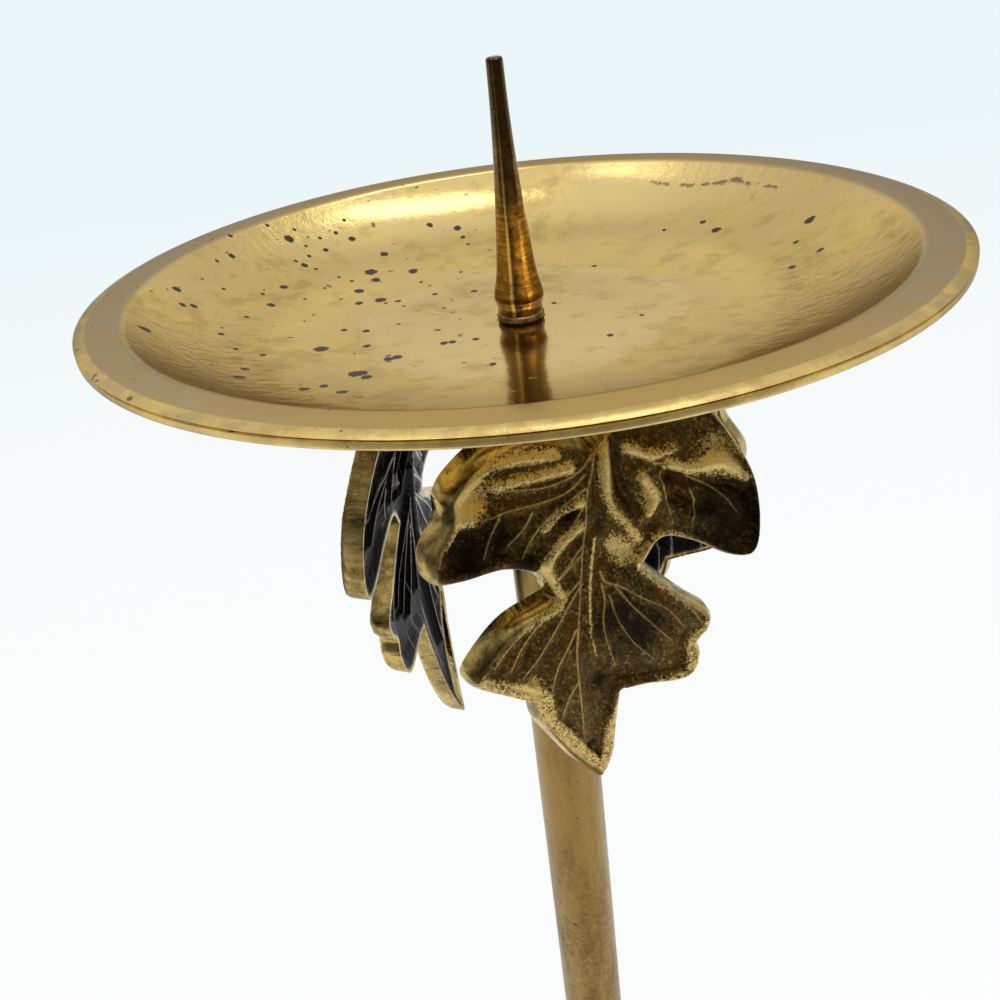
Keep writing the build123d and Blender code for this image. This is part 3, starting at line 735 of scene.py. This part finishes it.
dish_tan = (0.74, 0.565, 0.25, 1)
dish_gold = (0.80, 0.60, 0.225, 1)
dish_pale = (0.79, 0.63, 0.31, 1)
dish_stain_and_shade_brown = (0.50, 0.355, 0.13, 1)
dish_olive = (0.60, 0.49, 0.21, 1)
dish_rim_gold = (0.53, 0.375, 0.14, 1)
dish_rim_painted_reflection = (0.47, 0.385, 0.24, 1)
dish_lip_painted_highlight = (0.78, 0.58, 0.22, 1)
dish_pit = (0.05, 0.036, 0.03, 1)
dish_glance = (0.50, 0.47, 0.44, 1)
# Pits seen in the photo: pixel across, pixel down, radius in millimetres
dish_pits = (
    (289, 239, 1.2), (177, 289, 1.0), (183, 305, 0.8), (194, 306, 0.8), (145, 329, 1.2), (221, 334, 0.7),
    (284, 287, 1.0), (271, 305, 1.0), (247, 317, 0.6), (232, 256, 0.8), (305, 265, 0.9), (309, 256, 0.6),
    (326, 250, 0.8), (352, 239, 0.9), (384, 254, 1.1), (371, 272, 1.7), (376, 280, 1.2), (413, 271, 1.4),
    (359, 291, 1.3), (359, 303, 1.1), (380, 300, 1.4), (398, 301, 0.8), (457, 228, 1.1), (463, 237, 0.8),
    (430, 225, 0.9), (435, 294, 0.8), (474, 291, 0.9), (344, 330, 0.8), (366, 331, 0.9), (367, 346, 1.0),
    (321, 349, 1.6), (444, 343, 1.0), (452, 342, 0.9), (476, 339, 0.8), (389, 359, 1.1), (397, 357, 1.2),
    (356, 374, 1.7), (361, 373, 1.5), (366, 377, 1.2), (324, 386, 1.0), (304, 389, 1.1), (342, 392, 1.1),
    (239, 377, 1.2), (245, 369, 0.9), (263, 355, 0.7), (236, 349, 0.7), (493, 364, 0.8), (810, 220, 1.2),
    (716, 230, 1.2), (703, 222, 0.8), (796, 242, 0.7), (820, 250, 0.8), (792, 267, 0.9), (594, 266, 0.7),
    (642, 315, 0.6), (610, 335, 0.8), (554, 303, 0.7), (664, 230, 0.6), (217, 261, 0.5), (230, 235, 0.6),
    (213, 239, 0.5), (268, 228, 0.5), (294, 227, 0.5), (343, 214, 0.5), (336, 233, 0.6), (320, 238, 0.5),
    (306, 246, 0.5), (296, 261, 0.5), (316, 269, 0.6), (339, 277, 0.5), (325, 288, 0.5), (305, 299, 0.5),
    (263, 294, 0.6), (224, 289, 0.5), (352, 281, 0.6), (341, 299, 0.5), (421, 282, 0.6), (461, 272, 0.5),
    (468, 244, 0.6), (444, 308, 0.5), (439, 330, 0.5), (399, 324, 0.5), (404, 306, 0.5), (386, 303, 0.5),
)
# A thin flaw of the casting along the far wall, in the same pixels
dish_flaw = ((652, 176), (690, 174), (735, 178), (776, 187))


def dish_height(radius):
    if radius < dish_flat + dish_ease_out:
        return ease_middle[1] - sqrt(dish_ease ** 2 - max(radius - dish_flat, 0) ** 2)
    return bowl_middle[1] - sqrt(dish_bowl ** 2 - (min(radius, dish_crease) - bowl_middle[0]) ** 2)


def on_dish(across, down):
    ray = sight(across, down)
    height = dish_floor
    for _ in range(12):
        spot = photo_eye + ray * ((height - photo_eye.z) / ray.z)
        height = 0.5 * height + 0.5 * dish_height(hypot(spot.x, spot.y))
    return spot


dish_finish, shader, place = new_finish("dish_brass")
flat = place.vector("MULTIPLY", (1, 1, 0))
radius = flat.vector("LENGTH", (0, 0, 0), "Value")
right, away, up = place.parts()
turn = right.math("ARCTAN2", right, away)
waves = place.mottle(75, 4, 0.55)
clouds = place.vector("ADD", (0.4, 0.2, 0.1)).mottle(34, 4, 0.6)
fine = place.mottle(700, 4, 0.65)
swirl = place.vector("ADD", (0.1, 0.7, 0.3)).mottle(160, 5, 0.62)
speck = place.vector("ADD", (0.7, 0.1, 0.5)).mottle(1300, 3, 0.7)
worn = 1 - (radius + 0.012 * clouds + 0.005 * waves).rise(*dish_worn_edge)
rim = radius.rise(dish_crease - 0.0006, dish_crease + 0.0006)
bowl = radius.rise(*dish_wall_from) * (1 - rim)
sides = right.size().rise(*dish_sides_from)
pit = None
warp = place.mottle(900, 2, 0.5) - 0.5
for across, down, pit_radius in dish_pits:
    spot = on_dish(across, down)
    gap = flat.vector("DISTANCE", (spot.x, spot.y, 0), "Value") * (1000 / pit_radius)
    pit = pit.least(gap) if pit else gap
flaw_places = [on_dish(*spot) for spot in dish_flaw]
flaw = None
for start, end in zip(flaw_places, flaw_places[1:]):
    from_start = flat.vector("SUBTRACT", (start.x, start.y, 0))
    along = from_start.vector("DOT_PRODUCT", (end.x - start.x, end.y - start.y, 0), "Value")
    share = (along / (end - start).to_2d().length_squared).most(0.0).least(1.0)
    sockets = {0: share * (end.x - start.x), 1: share * (end.y - start.y)}
    step = share.node("ShaderNodeCombineXYZ", {}, sockets)
    gap = flat.vector("DISTANCE", step.vector("ADD", (start.x, start.y, 0)), "Value")
    flaw = flaw.least(gap) if flaw else gap
ragged = flaw + 0.0022 * (place.mottle(420, 4, 0.7) - 0.5)
flaw = (1 - ragged.rise(0.0002, 0.0007)) * place.mottle(260, 3, 0.6).rise(0.42, 0.52)
specks = place.mottle(520, 1, 0.3).rise(0.755, 0.775) * right.rise(0.03, -0.03)
pits = (1 - (pit + 0.9 * warp).rise(0.75, 1.0)).most(0.8 * specks).most(0.7 * flaw)
gold = (0.5 * clouds + 0.5 * waves).rise(0.4, 0.6).tint(dish_tan, dish_gold)
middle = (0.75 * worn).tint(gold, dish_pale)
smeared = ((0.55 * waves + 0.45 * swirl).rise(0.5, 0.6) * 0.4).tint(middle, dish_olive)
cloudy = (0.6 * swirl + 0.4 * clouds).rise(0.5, 0.62) * 0.4
dotted = speck.rise(0.58, 0.74) * (0.16 + 0.4 * sides * bowl)
# Browner on the bowl's left and right walls: painted shade; the clouds and specks are stains.
stained = (cloudy + dotted + 0.28 * sides * bowl).tint(smeared, dish_stain_and_shade_brown)
# The rim greys towards its left and right: a painted reflection, mottled by clouds and swirls.
edge = (0.3 * clouds + 0.3 * swirl + 8 * right.size()).rise(0.5, 0.85).tint(dish_rim_gold, dish_rim_painted_reflection)
edge = ((swirl.rise(0.46, 0.62) * 0.4) + speck.rise(0.52, 0.68) * 0.35).tint(edge, dish_stain_and_shade_brown)
# A brighter gold band on the sloping shoulder all round: a painted highlight.
painted_lip_highlight = radius.rise(dish_radius - dish_shoulder, dish_radius - 0.8 * dish_shoulder)
edge = (painted_lip_highlight * (0.4 + 0.6 * swirl.rise(0.4, 0.6))).tint(edge, dish_lip_painted_highlight)
pits.tint(rim.tint(stained, edge), dish_pit).into(shader, "Base Color")
rim_grit = (0.04 + 0.12 * speck) * rim
(0.11 + 0.05 * swirl + rim_grit + 0.08 * bowl * sides + 0.3 * pits).into(shader, "Roughness")
(1 - 0.6 * pits).into(shader, "Metallic")
shader.inputs["Specular Tint"].default_value = dish_glance
hammered = flat.node("ShaderNodeCombineXYZ", {}, {0: radius * 260, 1: turn * 26}).mottle(1.0, 4, 0.65)
peel = bowl * (0.15 + 0.85 * sides) * (0.7 * place.mottle(430, 3, 0.6) + 0.6 * fine + 1.1 * hammered)
rim_skin = rim * (0.12 * swirl + 0.1 * speck)
ripple = 0.3 * waves + 0.5 * clouds + 0.04 * fine + 0.5 * peel + rim_skin - 0.3 * pits
roughen(shader, ripple, 0.22, 0.0012)


def rounded(before, corner, after, steps):
    run = []
    for step in range(steps + 1):
        t = step / steps
        weights = (1 - t) ** 2, 2 * t * (1 - t), t ** 2
        pulls = list(zip(weights, (before, corner, after)))
        run.append(tuple(sum(weight * point[axis] for weight, point in pulls) for axis in (0, 1)))
    return run


dish_profile = [(washer_seat_radius, dish_floor)]
dish_profile += [(dish_flat * share, dish_floor) for share in (0.4, 0.6, 0.8)]
dish_profile += arc(ease_middle, dish_ease, -90, ease_end, 20)
round_end = crease_end - degrees(dish_crease_round / dish_bowl)
dish_profile += arc(bowl_middle, dish_bowl, ease_end, round_end, 28)[1:-1]
before_crease = arc(bowl_middle, dish_bowl, round_end, round_end, 1)[0]
after_crease = (dish_crease + dish_crease_round, dish_rim)
dish_profile += rounded(before_crease, (dish_crease, dish_rim), after_crease, 6)
lip_top = dish_rim - dish_shoulder_drop
lip_bottom = dish_rim - dish_wall
shoulder_middle = (dish_radius - dish_shoulder / 2, (dish_rim + lip_top) / 2 + 2 * dish_shoulder_bulge)
dish_profile += rounded((dish_radius - dish_shoulder, dish_rim), shoulder_middle, (dish_radius, lip_top), 8)
dish_profile += [(dish_radius - dish_groove, lip_top - dish_groove / 2), (dish_radius, lip_top - dish_groove)]
above_corner = (dish_radius, lip_bottom + dish_lip_round)
inside_corner = (dish_radius - dish_lip_round, lip_bottom)
dish_profile += rounded(above_corner, (dish_radius, lip_bottom), inside_corner, 4)
dish_profile += arc(bowl_middle, dish_bowl + dish_wall, under_end, ease_end, 28)
dish_profile += arc(ease_middle, dish_ease + dish_wall, ease_end, -90, 12)[1:]
dish_profile += [(dish_hole, dish_floor - dish_wall), (dish_hole, dish_floor - washer_seat_depth)]
dish_profile += [(washer_seat_radius, dish_floor - washer_seat_depth)]
show("dish", turned(dish_profile, steps=256), dish_finish, "stand", "drip_dish")

# Washer: a blackened ring in the dish's turned seat, under the spike's shoulder. It rises with the spike, and
# its upper part is rubbed to a warm brown.
washer_radius = 0.0048
washer_bore = 0.00305
washer_bottom = 0.3697
washer_top = 0.3717
washer_round = 0.0006
washer_edge = 0.0002
washer_rubbed_from = (0.3705, 0.3709)
washer_black = (0.030, 0.020, 0.016, 1)
washer_brass = (0.36, 0.21, 0.07, 1)
washer_finish, shader, place = new_finish("dark_ring")
rubbed = place.mottle(700, 4, 0.65)
band = (place.parts()[2] + 0.0003 * rubbed).rise(*washer_rubbed_from)
(band * (0.35 + 0.8 * rubbed.rise(0.4, 0.7))).tint(washer_black, washer_brass).into(shader, "Base Color")
(0.2 + 0.3 * rubbed).into(shader, "Roughness")
roughen(shader, rubbed, 0.2, 0.0003)
shader.inputs["Metallic"].default_value = 0.9
washer_profile = [(washer_bore, washer_bottom), (washer_radius - washer_edge, washer_bottom)]
washer_profile += arc((washer_radius - washer_round, washer_top - washer_round), washer_round, -10, 90, 8)
washer_profile += [(washer_bore, washer_top)]
washer_form = turned(washer_profile, steps=64)
show("ring_under_spike", washer_form, washer_finish, "washer_ring", "spike_washer")

# Spike: turned from brass bar with a flared base and a blunt tip, and a threaded stud below that screws into
# the stem. Candles left it dark brown; its dark stripe is painted shade and its pale line a painted
# highlight.
spike_height = 0.0483
spike_flare = 0.00495
spike_tip = 0.0016
spike_stud = 0.003
spike_stud_end = 0.3556
spike_stud_edge = 0.0006
spike_tip_round = 0.0006
spike_sooty_from = (0.380, 0.412)
spike_shares = (
    (0.0, 0.87), (0.025, 0.87), (0.045, 0.95), (0.075, 1.0), (0.18, 0.706),
    (0.345, 0.478), (0.58, 0.22), (0.8, 0.06), (1.0, 0.0),
)
spike_gold = (0.66, 0.45, 0.14, 1)
spike_brown = (0.060, 0.030, 0.010, 1)
spike_red = (0.27, 0.145, 0.038, 1)
# The pale colour is for the painted highlight line.
spike_painted_highlight = (0.92, 0.70, 0.30, 1)
spike_finish, shader, place = new_finish("spike_brass")
right, away, up = place.parts()
drawn = place.vector("MULTIPLY", (1, 1, 0.05)).mottle(520, 4, 0.6)
rings = place.vector("MULTIPLY", (0.05, 0.05, 1)).mottle(1500, 3, 0.7)
smoke = place.mottle(260, 5, 0.7)
soot = place.vector("ADD", (0.2, 0.5, 0.3)).mottle(900, 3, 0.7)
side = place.vector("MULTIPLY", (1, 1, 0)).vector("NORMALIZE", (0, 0, 0)).parts()[0] + 0.16 * (drawn - 0.5)
upper = up.rise(*spike_sooty_from)
# A dark stripe down the middle, in front and behind, wider at the top: painted shade.
streak = side.rise(-0.32, -0.2) * (1 - side.rise(0.26 + 0.5 * upper, 0.42 + 0.5 * upper))
# A pale vertical line a little left of the middle, front and back, dimmer at the top: a painted highlight.
painted_glint = (1 - (side + 0.36).size().rise(0.03, 0.09)) * (1 - 0.8 * upper) * (0.5 + 0.8 * smoke)
gold = (0.5 * rings + 0.5 * soot).rise(0.46, 0.66).tint(spike_red, spike_gold)
# Darkened by the painted shade of the stripe, by soot at the top and by sooty patches.
soot_and_painted_shade = (0.92 * streak).most(upper * (0.6 + 0.5 * drawn)).most(0.5 * soot.rise(0.52, 0.7))
dull = (1 - upper).tint(spike_brown, smoke.rise(0.42, 0.62).tint(spike_brown, spike_red))
painted_glint.tint(soot_and_painted_shade.tint(gold, dull), spike_painted_highlight).into(shader, "Base Color")
(0.12 + 0.1 * soot_and_painted_shade + 0.08 * rings).into(shader, "Roughness")
roughen(shader, 0.4 * drawn + 0.4 * smoke + 0.5 * rings, 0.1, 0.0004)
shader.inputs["Metallic"].default_value = 1.0
spike_top = washer_top + spike_height
spike_side = [
    (spike_tip + (spike_flare - spike_tip) * wide, washer_top + spike_height * share)
    for share, wide in spike_shares
]
spike_profile = [(0, spike_stud_end), (spike_stud - spike_stud_edge, spike_stud_end)]
spike_profile += [(spike_stud, spike_stud_end + spike_stud_edge), (spike_stud, washer_top)]
spike_profile += smooth_run(spike_side, 8)[:-1]
spike_profile += arc((spike_tip - spike_tip_round, spike_top - spike_tip_round), spike_tip_round, 0, 90, 5)
spike_profile += [(0, spike_top)]
show("spike_turning", turned(spike_profile, steps=96), spike_finish, "spike", "pricket_spike")

# Studio: a floor of pale paper that runs out of sight, nearly white as in the photo and a little blue far
# off. It glows for the camera and in reflections, so only a faint shadow stays on it.
floor_half = 40.0
floor_near = (1.0, 1.0, 1.0, 1)
floor_far = (0.835, 0.945, 0.975, 1)
paper_low = (0.88, 0.91, 0.95, 1)
paper_high = (0.92, 0.94, 0.97, 1)
black = (0, 0, 0, 1)
floor_shaded_to = (-0.22, -0.75)
floor_blue_from = (-0.2, 2.6)
floor_form = bmesh.new()
bmesh.ops.create_grid(floor_form, x_segments=4, y_segments=4, size=floor_half)
floor_mesh = bpy.data.meshes.new("studio_floor")
floor_form.to_mesh(floor_mesh)
floor_form.free()
floor_piece = bpy.data.objects.new("studio_floor", floor_mesh)
bpy.context.scene.collection.objects.link(floor_piece)
floor_finish, shader, place = new_finish("studio_paper")
floor_mesh.materials.append(floor_finish)
paper = place.mottle(3, 2, 0.5)
paper.tint(paper_low, paper_high).into(shader, "Base Color")
shader.inputs["Roughness"].default_value = 0.9
path = place.node("ShaderNodeLightPath", {}, {})
seen = path.socket.node.outputs["Is Camera Ray"], path.socket.node.outputs["Is Glossy Ray"]
camera_ray, glossy_ray = [Field(place.tree, socket) for socket in seen]
right, away, up = place.parts()
shade = 1 - 0.8 * glossy_ray * away.rise(*floor_shaded_to)
haze = away.rise(*floor_blue_from).tint(floor_near, floor_far)
glow = place.node("ShaderNodeEmission", {}, {"Color": shade.tint(black, haze), "Strength": 1.0})
share = 0.88 * camera_ray + 0.95 * glossy_ray
lit = place.node("ShaderNodeMixShader", {}, {0: share, 1: Field(place.tree, shader.outputs[0]), 2: glow})
lit.into(place.tree.nodes["Material Output"], "Surface")

# Light: a room with a bright ceiling, grey walls that darken towards the camera and a brighter backdrop,
# with a soft lamp in front and two panels overhead, which shine back from the dish's far wall.
room_white = (1.0, 0.985, 0.96, 1)
lamp_warm = (1.0, 0.98, 0.93)
lamp_pale = (1.0, 0.98, 0.95)
world = bpy.data.worlds.new("studio")
bpy.context.scene.world = world
world.use_nodes = True
sky = Field(world.node_tree).node("ShaderNodeTexCoord", {}, {}, "Generated")
right, away, up = sky.parts()
path = sky.node("ShaderNodeLightPath", {}, {})
camera_ray = Field(sky.tree, path.socket.node.outputs["Is Camera Ray"])
behind_camera = away.rise(0.15, -0.55) * (1 - up.rise(0.35, 0.8))
level = 0.37 + 0.30 * up.rise(0.06, 0.40) + 0.27 * up.rise(0.55, 0.92)
level = level - 0.36 * behind_camera - 0.12 * right.size().rise(0.45, 0.95) * (1 - up.rise(0.5, 0.9))
backdrop = away.rise(0.1, 0.8) * (1 - up.rise(0.38, 0.7)) * (1 - 0.4 * right.rise(0.1, 0.6))
room = (level.most(0.1) + 0.36 * backdrop).tint(black, room_white)
camera_ray.tint(room, floor_far).into(world.node_tree.nodes["Background"], "Color")


def soft_lamp(name, place, turn, sizes, power, colour):
    data = bpy.data.lights.new(name, "AREA")
    data.shape, data.energy, data.color = "ELLIPSE", power, colour
    data.size, data.size_y = sizes
    lamp = bpy.data.objects.new(name, data)
    bpy.context.scene.collection.objects.link(lamp)
    lamp.location = place
    lamp.rotation_euler = [radians(angle) for angle in turn]


soft_lamp("front_lamp", (0.30, -0.48, 1.25), (-28, 14, 0), (0.75, 0.75), 6, lamp_warm)
soft_lamp("right_panel", (0.18, 0.31, 1.32), (0, 8, 0), (0.40, 0.20), 0.42, lamp_warm)
soft_lamp("left_panel", (-0.25, 0.22, 1.32), (0, -10, -50), (0.28, 0.10), 0.075, lamp_pale)

# Camera: where the photo was taken from, found from the dish's ellipse, the stem and the spike. Its place and
# directions stand with the leaves, whose relief is read through it.
camera_data = bpy.data.cameras.new("photo_camera")
camera_data.sensor_width = 36
camera_data.lens = camera_data.sensor_width * photo_focus / photo_size
camera_data.clip_start, camera_data.clip_end = 0.01, 100
camera = bpy.data.objects.new("photo_camera", camera_data)
bpy.context.scene.collection.objects.link(camera)
camera_turn = Matrix((photo_right, photo_up, -photo_forward)).transposed().to_4x4()
camera.matrix_world = Matrix.Translation(photo_eye) @ camera_turn
bpy.context.scene.camera = camera
bpy.context.scene.view_settings.view_transform = "Standard"
